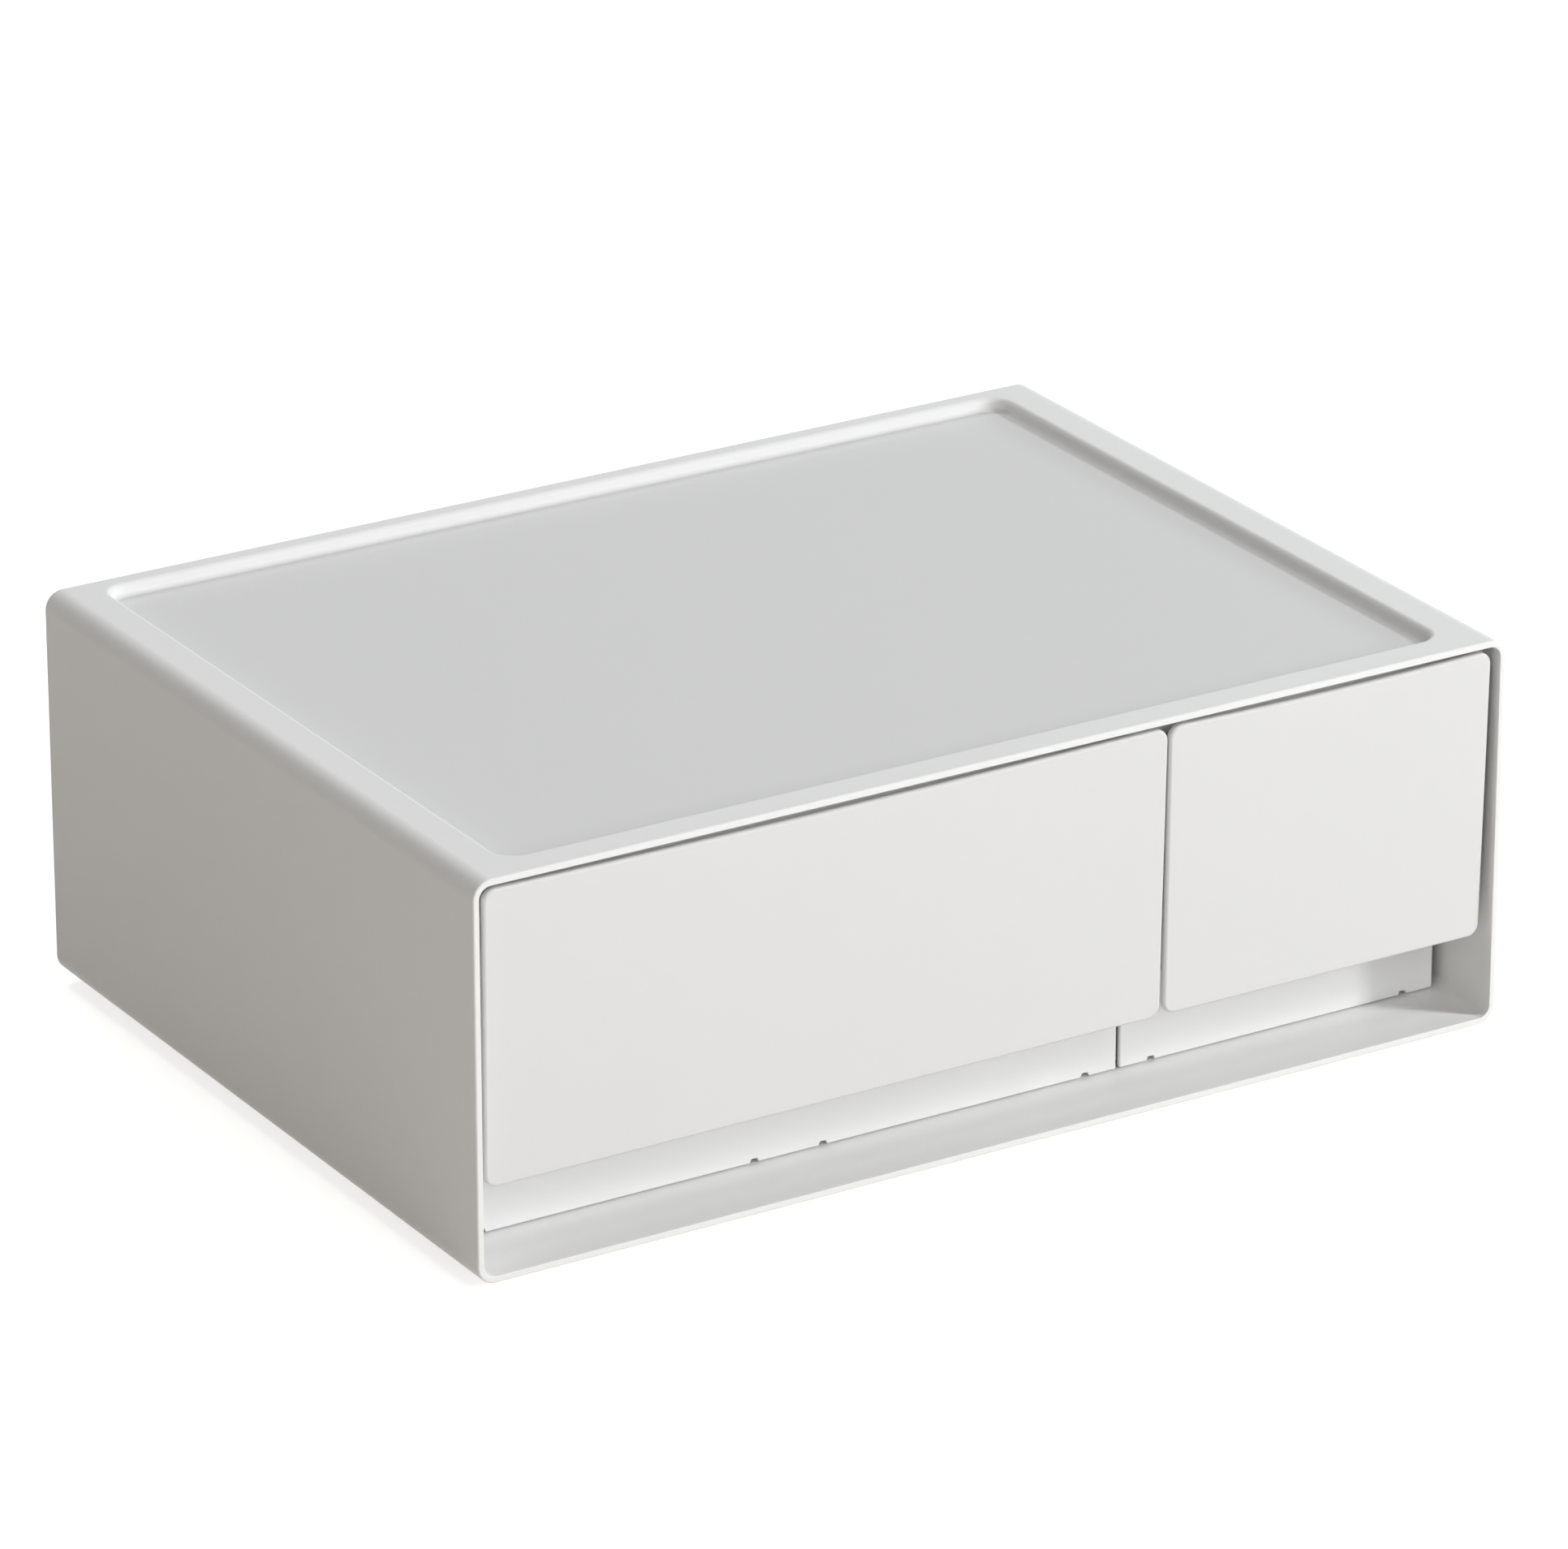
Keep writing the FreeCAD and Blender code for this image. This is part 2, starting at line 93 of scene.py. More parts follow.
# Rubber: the width of its specks of dust, the tints under and on them, its gloss and the depth of its grain
DUST_WIDTH = 2.5 * MM
DUST_DARK = 0.92
DUST_PALE = 1.06
RUBBER_ROUGHNESS = 0.72
DUST_GLOSS = 0.2
RUBBER_GRAIN_DEPTH = 0.02 * MM
RUBBER_IOR = 1.5

# How far the foot rings stand below the sleeve's sole, and the thickness of the trays' floors
FOOT_RING_DROP = 1.8 * MM
TRAY_FLOOR = 2.0 * MM

# Foot pads: the sole's rounding, the steps of a turn, the angle of a sharp edge and how near points merge
PAD_EDGE_ROUND = 0.5 * MM
PAD_ROUND_STEPS = 4
PAD_STEPS = 48
PAD_SHARP_ANGLE = 40 * DEG
MERGE_DISTANCE = 0.001 * MM

# How far a groove's walls slant, as a share of its width, and its shift outwards, as a share of the pitch
GROOVE_SLANT_SHARE = 1 / 6
GROOVE_SHIFT_SHARE = 1 / 4

# Modules across the box, and the marks that the mould's ejector pins leave on flat floors
MODULE_WIDTH = 110.7 * MM
PIN_RADIUS = 4.0 * MM
PIN_PITCH_X = MODULE_WIDTH / 2
PIN_PITCH_Y = 52.0 * MM
PIN_MIDDLE_Y = 8.5 * MM
PIN_ROWS = 4
PIN_EDGE = 0.2 * MM
PIN_FIELD_EDGE = 1 * MM
PIN_LEVEL_SLACK = 0.5 * MM

# The studio's lamps: their distance, and the azimuth, elevation, width, height, watts and colour of each
LAMP_DISTANCE = 4.4
COOL = (0.975, 0.99, 1)
WARM = (1, 0.92, 0.80)
LAMPS = {
    "front_high": (48, 35, 0.60, 0.76, 68.0, COOL),
    "front_low": (48, 15, 0.60, 0.76, 58.0, COOL),
    "front_middle": (0, 32, 1.60, 1.60, 36.0, COOL),
    "front_middle_low": (0, 8, 1.60, 1.60, 17.0, COOL),
    "right_high": (48, 60, 0.60, 0.76, 15.0, COOL),
    "back_right": (135, 45, 1.60, 1.60, 11.0, COOL),
    "back_high": (180, 45, 1.60, 1.60, 58.0, COOL),
    "left_fill": (-45, 35, 1.60, 1.60, 13.5, WARM),
    "left_low_fill": (-45, 8, 1.60, 1.60, 7.5, WARM),
    "left_back": (-115, 20, 1.60, 1.60, 4.0, WARM),
}

# The width of the camera's sensor in millimetres
SENSOR_WIDTH = 36

# The floor's colour and roughness, its glow near the box, and the distances between which that turns white
WHITE = (1, 1, 1, 1)
PALE_FLOOR = (0.83, 0.80, 0.76, 1)
FLOOR_ROUGHNESS = 0.9
NEAR_GLOW = (0.72, 0.72, 0.72, 1)
NEAR_REACH = 0.3
FAR_REACH = 1.2

# A Mix node names its sockets for numbers and for colours alike, so those of its colours go by their places
MIX_FACTOR, MIX_FIRST, MIX_SECOND, MIX_RESULT = 0, 6, 7, 2


# Settings

class FinishSettings(PropertyGroup):
    """Colours and grain of the moulded plastic, with painted shade in the fronts' colour and painted light
    in the trays' colour.
    """

    casing_colour: FloatVectorProperty(
        name="Casing Colour",
        description="Colour of the sleeve and the back panel",
        subtype="COLOR", size=3, min=0, max=1, default=(0.88, 0.88, 0.875),
    )
    # Painted shade: the fronts are the casing's plastic, given a darker colour to even out the strong light
    # on their faces
    front_colour_with_painted_shade: FloatVectorProperty(
        name="Front Colour",
        description="Colour of the two drawer fronts",
        subtype="COLOR", size=3, min=0, max=1, default=(0.745, 0.745, 0.74),
    )
    # Painted light: the trays are the casing's plastic, given a lighter colour to stand in for light under
    # the fronts
    tray_colour_with_painted_light: FloatVectorProperty(
        name="Tray Colour",
        description="Colour of the two drawer trays",
        subtype="COLOR", size=3, min=0, max=1, default=(0.95, 0.95, 0.945),
    )
    pad_grooves: IntProperty(
        name="Pad Grooves",
        description="Number of round grooves in the sole of each foot pad",
        min=0, max=5, default=3,
    )
    pad_groove_width: FloatProperty(
        name="Pad Groove Width",
        description="Width of one groove in the sole of a foot pad",
        subtype="DISTANCE", unit="LENGTH", min=0.2 * MM, max=1.2 * MM, default=0.8 * MM,
    )
    pad_groove_depth: FloatProperty(
        name="Pad Groove Depth",
        description="Depth of the grooves in the sole of a foot pad",
        subtype="DISTANCE", unit="LENGTH", min=0.1 * MM, max=1.0 * MM, default=0.5 * MM,
    )
    pad_colour: FloatVectorProperty(
        name="Pad Colour",
        description="Colour of the rubber foot pads",
        subtype="COLOR", size=3, min=0, max=1, default=(0.62, 0.62, 0.61),
    )
    grain_size: FloatProperty(
        name="Grain Size",
        description="Width of one grain of the mould's fine texture",
        subtype="DISTANCE", unit="LENGTH", min=0.05 * MM, max=2 * MM, default=0.3 * MM,
    )
    pin_depth: FloatProperty(
        name="Pin Mark Depth",
        description="Depth of the round marks that the mould's ejector pins leave",
        subtype="DISTANCE", unit="LENGTH", min=0, max=0.3 * MM, default=0.08 * MM,
    )
    grain_depth: FloatProperty(
        name="Grain Depth",
        description="Depth of the mould's fine texture",
        subtype="DISTANCE", unit="LENGTH", min=0, max=0.1 * MM, default=0.006 * MM,
    )


class StudioSettings(PropertyGroup):
    """Camera, lamps and floor."""

    azimuth: FloatProperty(
        name="Azimuth",
        description="Direction of the camera round the box, from straight in front of it",
        subtype="ANGLE", unit="ROTATION", default=-31.518 * DEG,
    )
    elevation: FloatProperty(
        name="Elevation",
        description="Height of the camera's direction over the level",
        subtype="ANGLE", unit="ROTATION", default=22.610 * DEG,
    )
    distance: FloatProperty(
        name="Distance",
        description="Distance of the camera from the middle of the box's footprint",
        subtype="DISTANCE", unit="LENGTH", min=0.5, default=2.6533,
    )
    aim_right: FloatProperty(
        name="Aim Right",
        description="How far the camera stands to the right of the line to the footprint's middle",
        subtype="DISTANCE", unit="LENGTH", default=3.75 * MM,
    )
    aim_up: FloatProperty(
        name="Aim Up",
        description="How far the camera stands above the line to the footprint's middle",
        subtype="DISTANCE", unit="LENGTH", default=67.6 * MM,
    )
    lens: FloatProperty(
        name="Lens",
        description="Focal length of the camera, in millimetres",
        min=10, default=208.14,
    )
    ambient: FloatVectorProperty(
        name="Ambient",
        description="Light of the pale room round the box",
        subtype="COLOR", size=3, min=0, max=2, default=(0.01, 0.01, 0.01),
    )
    lamp_strength: FloatProperty(
        name="Lamp Strength",
        description="Multiplies the power of all the lamps",
        min=0, default=1,
    )
    floor_radius: FloatProperty(
        name="Floor Radius",
        description="Half width of the floor",
        subtype="DISTANCE", unit="LENGTH", min=1, default=6,
    )


# Node building

class Wire:
    """An output socket that carries a number: arithmetic on it adds Math nodes."""

    def __init__(self, tree, socket):
        self.tree = tree
        self.socket = socket

    def maths(self, operation, *values):
        """The result of one Math node."""
        node = self.tree.add("ShaderNodeMath", {"operation": operation}, dict(enumerate(values)))
        return Wire(self.tree, node.outputs[0])

    def __add__(self, other):
        return self.maths("ADD", self, other)

    def __radd__(self, other):
        return self.maths("ADD", other, self)

    def __sub__(self, other):
        return self.maths("SUBTRACT", self, other)

    def __rsub__(self, other):
        return self.maths("SUBTRACT", other, self)

    def __mul__(self, other):
        return self.maths("MULTIPLY", self, other)

    def __rmul__(self, other):
        return self.maths("MULTIPLY", other, self)

    def root(self):
        """The square root."""
        return self.maths("SQRT", self)

    def off_pitch(self, middle, pitch):
        """The way from the nearest row, where rows lie a pitch apart and half a pitch off the middle."""
        return self.maths("WRAP", self - middle, pitch, 0) - pitch / 2

    def within(self, low, high, edge):
        """1 between low and high and 0 outside them, with steps as wide as the edge."""
        over_low = self.ramp(low - edge / 2, low + edge / 2)
        over_high = self.ramp(high - edge / 2, high + edge / 2)
        return over_low * (1 - over_high)

    def ramp(self, low, high):
        """0 below low, 1 above high, and a smooth step between them."""
        node = self.tree.add(
            "ShaderNodeMapRange",
            {"interpolation_type": "SMOOTHSTEP"},
            {"Value": self, "From Min": low, "From Max": high},
        )
        return Wire(self.tree, node.outputs["Result"])


class Tree:
    """A node tree under construction."""

    def __init__(self, tree):
        self.tree = tree
        self.tree.nodes.clear()

    def add(self, kind, settings, sockets):
        """A new node with its settings, and then its sockets' values or links."""
        node = self.tree.nodes.new(kind)
        for name, value in settings.items():
            setattr(node, name, value)
        for name, value in sockets.items():
            if isinstance(value, Wire):
                value = value.socket
            if isinstance(value, bpy.types.NodeSocket):
                self.tree.links.new(value, node.inputs[name])
            else:
                node.inputs[name].default_value = value
        return node


class GeometryTree(Tree):
    """A Geometry Nodes tree with named inputs that ends in Realize Instances and Set Material."""

    def __init__(self, name, inputs):
        super().__init__(bpy.data.node_groups.new(name, "GeometryNodeTree"))
        sockets = self.tree.interface
        sockets.new_socket("Geometry", in_out="OUTPUT", socket_type="NodeSocketGeometry")
        for label, kind in {"Geometry": "Geometry", **inputs, "Material": "Material"}.items():
            sockets.new_socket(label, in_out="INPUT", socket_type="NodeSocket" + kind)
        self.inputs = self.add("NodeGroupInput", {}, {}).outputs

    def finish(self, geometry):
        """Closes the tree over its result."""
        real = self.add("GeometryNodeRealizeInstances", {}, {"Geometry": geometry})
        clad = self.add("GeometryNodeSetMaterial", {}, {
            "Geometry": real.outputs["Geometry"],
            "Material": self.inputs["Material"],
        })
        self.add("NodeGroupOutput", {}, {"Geometry": clad.outputs["Geometry"]})

    def apply(self, name, mesh, values):
        """A plain object that holds the tree's result on a mesh, with the named inputs at the values."""
        piece = bpy.data.objects.new(name, mesh)
        bpy.context.scene.collection.objects.link(piece)
        modifier = piece.modifiers.new(name, "NODES")
        modifier.node_group = self.tree
        for item in self.tree.interface.items_tree:
            if item.in_out == "INPUT" and item.name in values:
                modifier[item.identifier] = values[item.name]
        ready = piece.evaluated_get(bpy.context.evaluated_depsgraph_get())
        result = bpy.data.meshes.new_from_object(ready)
        piece.modifiers.remove(modifier)
        piece.data = result
        return piece


class Shader(Tree):
    """The node tree of a material or of the world, under construction."""

    def __init__(self, owner):
        owner.use_nodes = True
        super().__init__(owner.node_tree)

    def places(self):
        """Object coordinates, which follow the piece."""
        return self.add("ShaderNodeTexCoord", {}, {}).outputs["Object"]

    def split(self, vector):
        """The three parts of a vector."""
        node = self.add("ShaderNodeSeparateXYZ", {}, {"Vector": vector})
        return [Wire(self, socket) for socket in node.outputs]

    def noise(self, vector, size, detail):
        """Soft noise from 0 to 1, whose blotches are about a size wide."""
        sockets = {"Vector": vector, "Scale": 1 / size, "Detail": detail}
        node = self.add("ShaderNodeTexNoise", {"normalize": True}, sockets)
        return Wire(self, node.outputs["Fac"])

    def blend(self, factor, first, second):
        """A colour between two colours."""
        settings = {"data_type": "RGBA", "blend_type": "MIX"}
        sockets = {MIX_FACTOR: factor, MIX_FIRST: first, MIX_SECOND: second}
        return self.add("ShaderNodeMix", settings, sockets).outputs[MIX_RESULT]

    def bump(self, height, depth, normal=None):
        """The normal over a height from 0 to 1, which stands for a real depth."""
        sockets = {"Height": height, "Distance": depth, "Strength": 1}
        if normal is not None:
            sockets["Normal"] = normal
        return self.add("ShaderNodeBump", {}, sockets).outputs["Normal"]

    def close(self, sockets):
        """Ends a material's tree in one Principled surface."""
        surface = self.add("ShaderNodeBsdfPrincipled", {}, sockets)
        self.add("ShaderNodeOutputMaterial", {}, {"Surface": surface.outputs["BSDF"]})


def shade(colour, amount):
    """An RGBA value of a colour made lighter or darker."""
    return (*(channel * amount for channel in colour), 1)


# Finishes

def dish_mask(shader, places):
    """1 on the flat floor of the dished top, and 0 elsewhere."""
    x, y, z = shader.split(places)
    across = x.within(SLEEVE_LOW.x + SIDE_RIM, SLEEVE_HIGH.x - SIDE_RIM, DISH_PLAN_EDGE)
    along = y.within(SLEEVE_LOW.y + FRONT_RIM, SLEEVE_HIGH.y - BACK_RIM, DISH_PLAN_EDGE)
    floor_z = SLEEVE_HIGH.z - DISH_DEPTH
    level = z.within(floor_z - DISH_LEVEL_EDGE, floor_z + DISH_LEVEL_EDGE, DISH_LEVEL_EDGE)
    return across * along * level


def pin_marks(shader, places, low_z, high_z):
    """1 on round marks in rows, where the height lies between the two levels, and 0 elsewhere."""
    x, y, z = shader.split(places)
    across = x.off_pitch(0, PIN_PITCH_X)
    along = y.off_pitch(PIN_MIDDLE_Y, PIN_PITCH_Y)
    reach = (across * across + along * along).root()
    half_rows = PIN_ROWS * PIN_PITCH_Y / 2
    rows = y.within(PIN_MIDDLE_Y - half_rows, PIN_MIDDLE_Y + half_rows, PIN_FIELD_EDGE)
    outside = reach.ramp(PIN_RADIUS - PIN_EDGE / 2, PIN_RADIUS + PIN_EDGE / 2)
    return (1 - outside) * rows * z.within(low_z, high_z, PIN_EDGE)


def moulded_plastic(name, colour, roughness, finish, pin_levels=None, dished=False):
    """Satin plastic with the mould's fine grain, faint clouding, pin marks and a slightly uneven gloss, and
    on a dished top a floor darkened with painted shade.
    """
    material = bpy.data.materials.new(name)
    shader = Shader(material)
    places = shader.places()
    clouds = shader.noise(places, CLOUD_WIDTH, 2)
    patches = shader.noise(places, PATCH_WIDTH, 3)
    grain = shader.noise(places, finish.grain_size, 2)
    waves = shader.noise(places, WAVE_WIDTH, 1)
    tint = clouds * CLOUD_SHARE + patches * (1 - CLOUD_SHARE)
    body = shader.blend(tint, shade(colour, 1 - TINT_SPREAD), shade(colour, 1 + TINT_SPREAD))
    gloss = roughness + (patches - 0.5) * PATCH_GLOSS + (grain - 0.5) * GRAIN_GLOSS
    normal = shader.bump(waves, WAVE_DEPTH)
    normal = shader.bump(grain, finish.grain_depth, normal)
    if dished:
        dish = dish_mask(shader, places)
        # Painted shade: the dish's floor gets a darker copy of the colour, standing in for the dimmer light
        # on it
        body = shader.blend(dish, body, shade(colour, DISH_PAINTED_SHADE))
        gloss = gloss + dish * DISH_ROUGHER
        coarse = shader.noise(places, DISH_GRAIN_TIMES * finish.grain_size, 3)
        normal = shader.bump(coarse * dish, DISH_GRAIN_TIMES * finish.grain_depth, normal)
    if pin_levels:
        marks = pin_marks(shader, places, *pin_levels)
        normal = shader.bump(1 - marks, finish.pin_depth, normal)
    shader.close({"Base Color": body, "Roughness": gloss, "Normal": normal, "IOR": PLASTIC_IOR})
    return material


def pad_rubber(name, colour, finish):
    """Soft matte rubber with fine grain and a little dust."""
    material = bpy.data.materials.new(name)
    shader = Shader(material)
    places = shader.places()
    dust = shader.noise(places, DUST_WIDTH, 4)
    grain = shader.noise(places, finish.grain_size, 3)
    shader.close({
        "Base Color": shader.blend(dust, shade(colour, DUST_DARK), shade(colour, DUST_PALE)),
        "Roughness": RUBBER_ROUGHNESS + (dust - 0.5) * DUST_GLOSS,
        "Normal": shader.bump(grain, RUBBER_GRAIN_DEPTH),
        "IOR": RUBBER_IOR,
    })
    return material


def dress(names, material):
    """Puts a material in every slot of the named pieces of the frame."""
    for name in names:
        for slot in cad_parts[name].material_slots:
            slot.material = material


class DRAWERBOX_OT_casing(Operator):
    """Give the sleeve and the back panel their satin plastic"""

    bl_idname = "drawerbox.casing"
    bl_label = "Casing"

    def execute(self, context):
        finish = context.scene.drawerbox_finish
        sole = SLEEVE_LOW.z + FOOT_RING_DROP
        plastic = moulded_plastic(
            "casing_plastic_satin", finish.casing_colour, CASING_ROUGHNESS, finish,
            pin_levels=(sole - PIN_LEVEL_SLACK, sole + PIN_LEVEL_SLACK), dished=True,
        )
        dress(["casing_sleeve", "back_panel"], plastic)
        return {"FINISHED"}


class DRAWERBOX_OT_fronts(Operator):
    """Give the drawer fronts their smoother plastic, painted darker as shade"""

    bl_idname = "drawerbox.fronts"
    bl_label = "Drawer Fronts"

    def execute(self, context):
        finish = context.scene.drawerbox_finish
        # Painted shade: the fronts' colour is darker than the plastic's own
        plastic = moulded_plastic("front_plastic_satin", finish.front_colour_with_painted_shade, FRONT_ROUGHNESS, finish)
        dress(["wide_drawer_front", "narrow_drawer_front"], plastic)
        return {"FINISHED"}


class DRAWERBOX_OT_trays(Operator):
    """Give the drawer trays their plastic, painted lighter as light"""

    bl_idname = "drawerbox.trays"
    bl_label = "Drawer Trays"

    def execute(self, context):
        finish = context.scene.drawerbox_finish
        foot_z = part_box("wide_drawer_tray")[0].z
        # Painted light: the trays' colour is lighter than the plastic's own
        plastic = moulded_plastic(
            "tray_plastic_satin", finish.tray_colour_with_painted_light, TRAY_ROUGHNESS, finish,
            pin_levels=(foot_z - PIN_LEVEL_SLACK, foot_z + TRAY_FLOOR + PIN_LEVEL_SLACK),
        )
        dress(["wide_drawer_tray", "narrow_drawer_tray"], plastic)
        return {"FINISHED"}


# Foot pads

def pad_section(radius, height, finish):
    """Half of a foot pad's upright section, from its top's middle round to its sole's middle."""
    section = [(0, height), (radius, height)]
    for i in range(PAD_ROUND_STEPS + 1):
        angle = i / PAD_ROUND_STEPS * math.pi / 2
        inset = PAD_EDGE_ROUND * (1 - math.cos(angle))
        section.append((radius - inset, PAD_EDGE_ROUND * (1 - math.sin(angle))))
    pitch = (radius - PAD_EDGE_ROUND) / (finish.pad_grooves + 1)
    slant = finish.pad_groove_width * GROOVE_SLANT_SHARE
    for i in range(finish.pad_grooves):
        middle = radius - PAD_EDGE_ROUND - (i + 1 - GROOVE_SHIFT_SHARE) * pitch
        outer = middle + finish.pad_groove_width / 2
        inner = outer - finish.pad_groove_width
        section += [
            (outer, 0),
            (outer - slant, finish.pad_groove_depth),
            (inner + slant, finish.pad_groove_depth),
            (inner, 0),
        ]
    section.append((0, 0))
    return section


def pad_mesh(radius, height, finish):
    """One foot pad, turned about the upright axis through the origin."""
    form = bmesh.new()
    points = [form.verts.new((reach, 0, z)) for reach, z in pad_section(radius, height, finish)]
    edges = [form.edges.new(pair) for pair in zip(points, points[1:])]
    bmesh.ops.spin(
        form, geom=points + edges, axis=(0, 0, 1), cent=(0, 0, 0),
        angle=2 * math.pi, steps=PAD_STEPS, use_merge=True,
    )
    bmesh.ops.remove_doubles(form, verts=form.verts, dist=MERGE_DISTANCE)
    bmesh.ops.recalc_face_normals(form, faces=form.faces)
    mesh = bpy.data.meshes.new("foot_pad_form")
    form.to_mesh(mesh)
    form.free()
    return mesh


def pad_rectangle_tree():
    """Copies a pad to the four corners of a rectangle."""
    tree = GeometryTree("pads_on_rectangle", {"Width": "Float", "Depth": "Float", "Middle": "Vector"})
    corners = tree.add("GeometryNodeMeshGrid", {}, {
        "Size X": tree.inputs["Width"],
        "Size Y": tree.inputs["Depth"],
        "Vertices X": 2,
        "Vertices Y": 2,
    })
    placed = tree.add("GeometryNodeTransform", {}, {
        "Geometry": corners.outputs["Mesh"],
        "Translation": tree.inputs["Middle"],
    })
    pads = tree.add("GeometryNodeInstanceOnPoints", {}, {
        "Points": placed.outputs["Geometry"],
        "Instance": tree.inputs["Geometry"],
    })
    tree.finish(pads.outputs["Instances"])
    return tree


class DRAWERBOX_OT_foot_pads(Operator):
    """Turn the four ribbed rubber foot pads and put them in their rings"""

    bl_idname = "drawerbox.foot_pads"
    bl_label = "Foot Pads"

    def execute(self, context):
        finish = context.scene.drawerbox_finish
        rubber = pad_rubber("pad_rubber_matte", finish.pad_colour, finish)
        boxes = [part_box(name) for name in PAD_NODES]
        middles = [(low + high) / 2 for low, high in boxes]
        low, high = boxes[0]
        left, right = min(m.x for m in middles), max(m.x for m in middles)
        near, far = min(m.y for m in middles), max(m.y for m in middles)
        pad = pad_mesh((high.x - low.x) / 2, high.z - low.z, finish)
        pads = pad_rectangle_tree().apply("foot_pads", pad, {
            "Width": right - left,
            "Depth": far - near,
            "Middle": ((left + right) / 2, (near + far) / 2, low.z),
            "Material": rubber,
        })
        pads.data.shade_smooth()
        pads.data.set_sharp_from_angle(angle=PAD_SHARP_ANGLE)
        dress(PAD_NODES, rubber)
        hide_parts(*PAD_NODES)
        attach(pads, "casing")
        return {"FINISHED"}


# Stage

def direction(azimuth, elevation):
    """The unit vector from the box towards an azimuth and an elevation."""
    level = math.cos(elevation)
    return Vector((math.sin(azimuth) * level, -math.cos(azimuth) * level, math.sin(elevation)))


def make_camera(studio):
    """The camera, with its place given along its own right, up and back axes."""
    back = direction(studio.azimuth, studio.elevation)
    right = Vector((math.cos(studio.azimuth), math.sin(studio.azimuth), 0))
    up = back.cross(right)
    place = back * studio.distance + right * studio.aim_right + up * studio.aim_up
    lens = bpy.data.cameras.new("product_camera")
    lens.sensor_fit = "HORIZONTAL"
    lens.sensor_width = SENSOR_WIDTH
    lens.lens = studio.lens
    camera = bpy.data.objects.new("product_camera", lens)
    turn = Matrix((right, up, back)).transposed().to_4x4()
    camera.matrix_world = Matrix.Translation(place) @ turn
    bpy.context.scene.collection.objects.link(camera)
    bpy.context.scene.camera = camera


def make_lamp(name, azimuth, elevation, width, height, power, colour):
    """A soft box that points at the middle of the drawer box and shows neither itself nor its reflection."""
    data = bpy.data.lights.new(name, "AREA")
    data.shape = "RECTANGLE"
    data.size = width
    data.size_y = height
    data.energy = power
    data.color = colour
    lamp = bpy.data.objects.new(name, data)
    away = direction(azimuth * DEG, elevation * DEG)
    lamp.rotation_euler = away.to_track_quat("Z", "Y").to_euler()
    lamp.location = MIDDLE + away * LAMP_DISTANCE
    lamp.visible_camera = False
    lamp.visible_glossy = False
    bpy.context.scene.collection.objects.link(lamp)


def seen_rays(shader):
    """1 for rays that show the backdrop: from the camera, or by gloss or through something clear."""
    path = shader.add("ShaderNodeLightPath", {}, {})
    camera, glossy, clear = (
        Wire(shader, path.outputs[name])
        for name in ("Is Camera Ray", "Is Glossy Ray", "Is Transmission Ray")
    )
    return (camera + glossy + clear).ramp(0, 1)


def make_world(studio):
    """White where it is seen, and a soft ambient light on the box."""
    world = bpy.data.worlds.new("white_room")
    shader = Shader(world)
    colour = shader.blend(seen_rays(shader), shade(studio.ambient, 1), WHITE)
    background = shader.add("ShaderNodeBackground", {}, {"Color": colour, "Strength": 1})
    shader.add("ShaderNodeOutputWorld", {}, {"Surface": background.outputs["Background"]})
    bpy.context.scene.world = world


def floor_finish():
    """Pale matte floor that is white where it is seen, apart from the box's shadow."""
    material = bpy.data.materials.new("pale_floor")
    shader = Shader(material)
    x, y, _ = shader.split(shader.places())
    far = (x * x + y * y).ramp(NEAR_REACH ** 2, FAR_REACH ** 2)
    glow = shader.blend(far, NEAR_GLOW, WHITE)
    matte = {"Base Color": PALE_FLOOR, "Roughness": FLOOR_ROUGHNESS, "Specular IOR Level": 0}
    glowing = {**matte, "Emission Color": glow, "Emission Strength": 1}
    lit, seen = (
        shader.add("ShaderNodeBsdfPrincipled", {}, sockets).outputs["BSDF"]
        for sockets in (matte, glowing)
    )
    # The two surfaces that a Mix Shader joins have the same name, so they go by their places
    both = shader.add("ShaderNodeMixShader", {}, {"Fac": seen_rays(shader), 1: lit, 2: seen})
    shader.add("ShaderNodeOutputMaterial", {}, {"Surface": both.outputs["Shader"]})
    return material


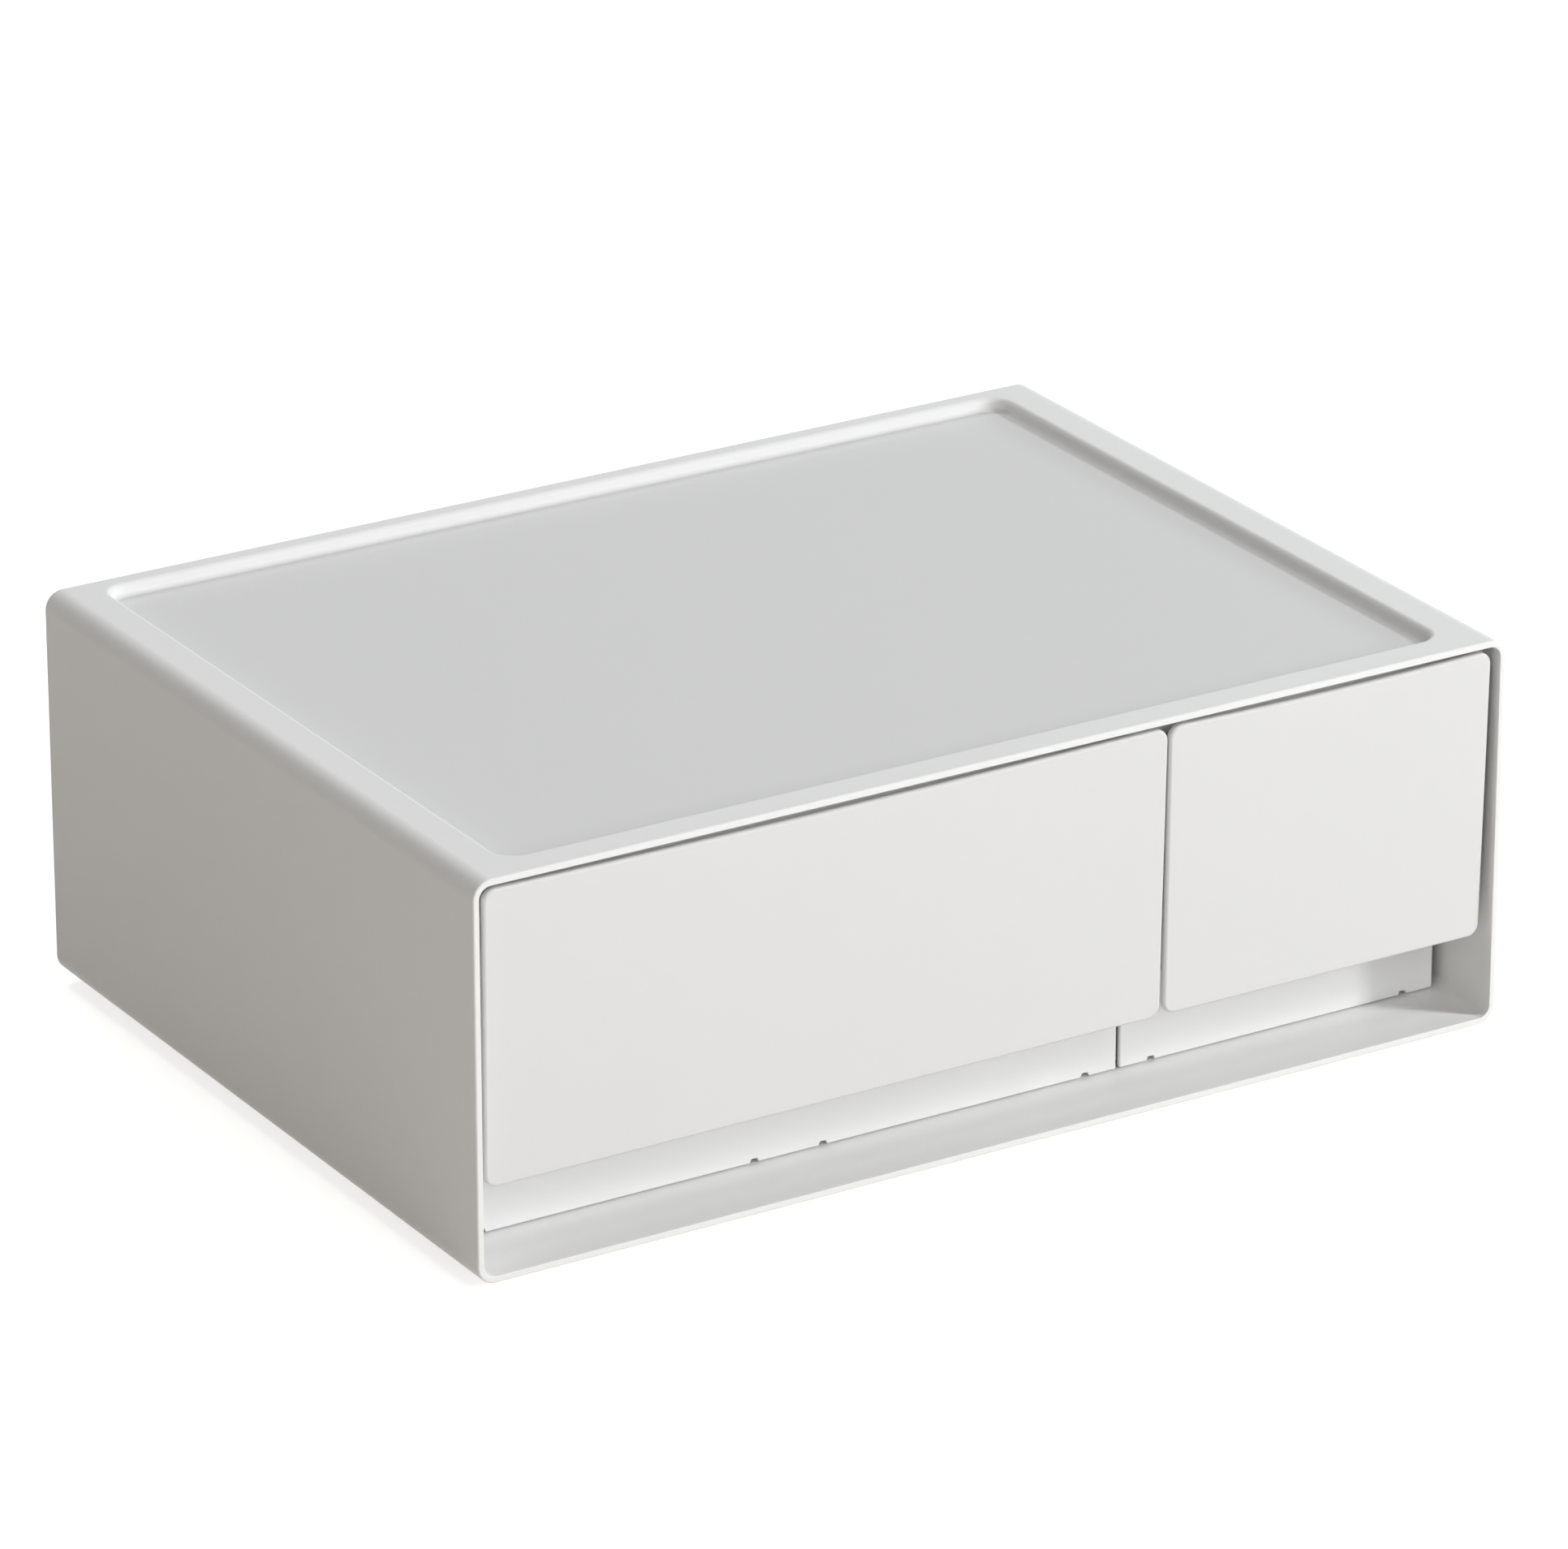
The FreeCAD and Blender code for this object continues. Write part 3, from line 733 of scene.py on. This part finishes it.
def make_floor(studio):
    """A level square under the box, which belongs to the stage."""
    reach = studio.floor_radius
    mesh = bpy.data.meshes.new("floor")
    corners = [(-reach, -reach, 0), (reach, -reach, 0), (reach, reach, 0), (-reach, reach, 0)]
    mesh.from_pydata(corners, [], [(0, 1, 2, 3)])
    mesh.materials.append(floor_finish())
    floor = bpy.data.objects.new("floor", mesh)
    bpy.context.scene.collection.objects.link(floor)


class DRAWERBOX_OT_stage(Operator):
    """Set up the pale floor, the white room, the soft lamps and the camera"""

    bl_idname = "drawerbox.stage"
    bl_label = "Stage"

    def execute(self, context):
        studio = context.scene.drawerbox_studio
        context.scene.view_settings.view_transform = "Standard"
        make_world(studio)
        make_floor(studio)
        for name, (azimuth, elevation, width, height, power, colour) in LAMPS.items():
            watts = power * studio.lamp_strength
            make_lamp(name + "_lamp", azimuth, elevation, width, height, watts, colour)
        make_camera(studio)
        return {"FINISHED"}


class DRAWERBOX_PT_sidebar(Panel):
    """Lists the steps that finish the drawer box"""

    bl_idname = "DRAWERBOX_PT_sidebar"
    bl_label = "Drawer Box"
    bl_space_type = "VIEW_3D"
    bl_region_type = "UI"
    bl_category = "Drawer Box"

    def draw(self, context):
        layout = self.layout
        for step in STEPS:
            layout.operator(step.bl_idname)
        for settings in (context.scene.drawerbox_finish, context.scene.drawerbox_studio):
            column = layout.column()
            for name in settings.__annotations__:
                column.prop(settings, name)


STEPS = (
    DRAWERBOX_OT_casing,
    DRAWERBOX_OT_fronts,
    DRAWERBOX_OT_trays,
    DRAWERBOX_OT_foot_pads,
    DRAWERBOX_OT_stage,
)
CLASSES = (FinishSettings, StudioSettings, *STEPS, DRAWERBOX_PT_sidebar)


def register():
    for kind in CLASSES:
        bpy.utils.register_class(kind)
    bpy.types.Scene.drawerbox_finish = PointerProperty(type=FinishSettings)
    bpy.types.Scene.drawerbox_studio = PointerProperty(type=StudioSettings)


def unregister():
    del bpy.types.Scene.drawerbox_studio
    del bpy.types.Scene.drawerbox_finish
    for kind in reversed(CLASSES):
        bpy.utils.unregister_class(kind)


def main():
    register()
    bpy.ops.drawerbox.casing()
    bpy.ops.drawerbox.fronts()
    bpy.ops.drawerbox.trays()
    bpy.ops.drawerbox.foot_pads()
    bpy.ops.drawerbox.stage()


if __name__ == "__main__":
    main()
